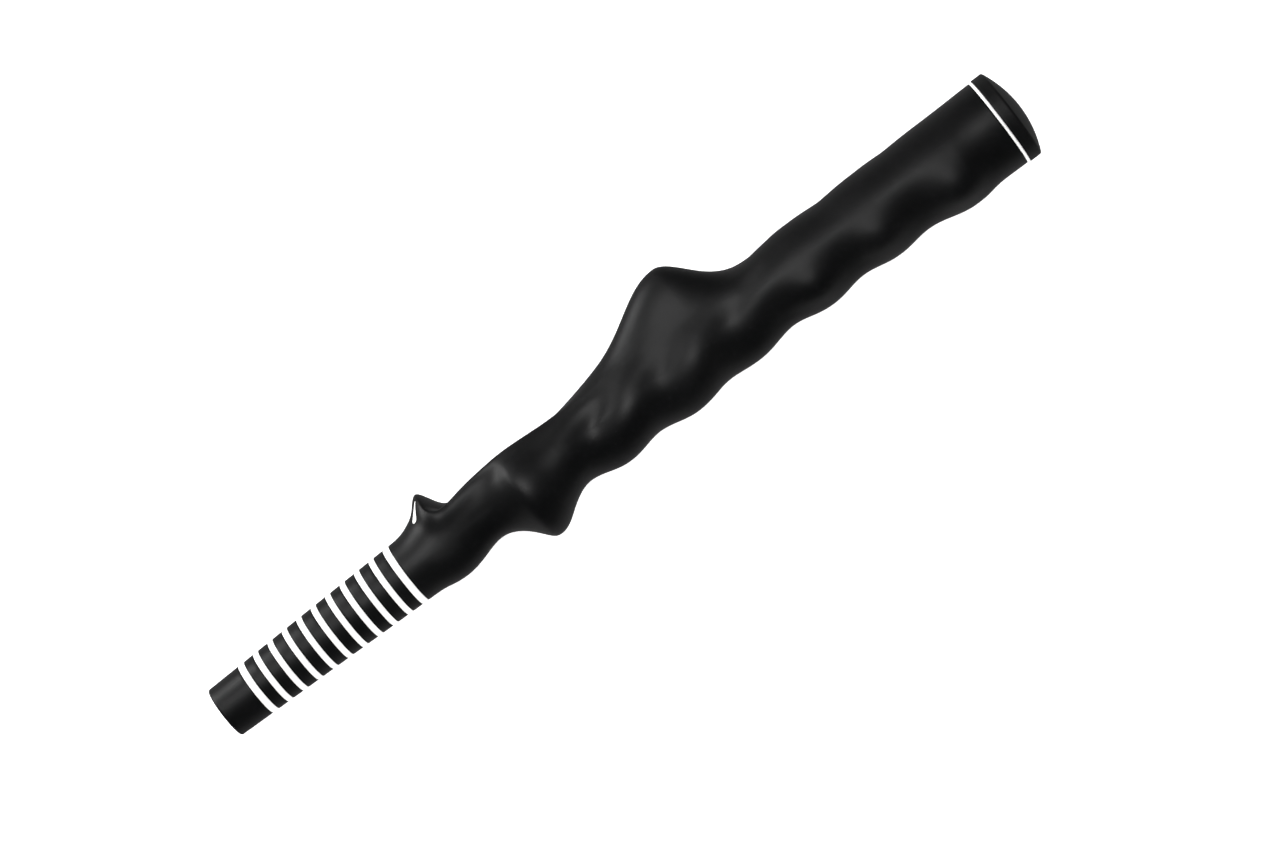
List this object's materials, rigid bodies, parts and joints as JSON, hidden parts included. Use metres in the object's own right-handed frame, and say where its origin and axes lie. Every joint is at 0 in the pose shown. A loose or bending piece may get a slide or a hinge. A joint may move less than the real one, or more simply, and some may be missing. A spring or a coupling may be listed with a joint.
{
  "type": "golf training grip",
  "caption": "Moulded rubber golf training grip with finger forms, thumb rest and palm pad, white ring inlays at its slim end and a domed butt cap at the other.",
  "frame": {"origin": "centre of the mouth, where a shaft goes in, on the bore's axis", "axes": "+X along the bore from the mouth to the butt cap; +Y to the thumb side, the top of the grip in use; +Z to the side that a right-handed player turns to the target, so the grip lies on its other side"},
  "size_m": [0.2688, 0.0418, 0.0279],
  "materials": {
    "sleeve_rubber": "satin moulded black rubber",
    "cap_rubber": "matte moulded black rubber",
    "white_inlay": "matte white filled inlay"
  },
  "bodies": {
    "root": {"grip_sleeve": "sleeve_rubber", "butt_cap": "cap_rubber", "cap_ring": "white_inlay", "thumb_mark": "white_inlay", "white_ring_01": "white_inlay", "white_ring_02": "white_inlay", "white_ring_03": "white_inlay", "white_ring_04": "white_inlay", "white_ring_05": "white_inlay", "white_ring_06": "white_inlay", "white_ring_07": "white_inlay", "white_ring_08": "white_inlay", "white_ring_09": "white_inlay", "white_ring_10": "white_inlay", "white_ring_11": "white_inlay"}
  },
  "joints": []
}
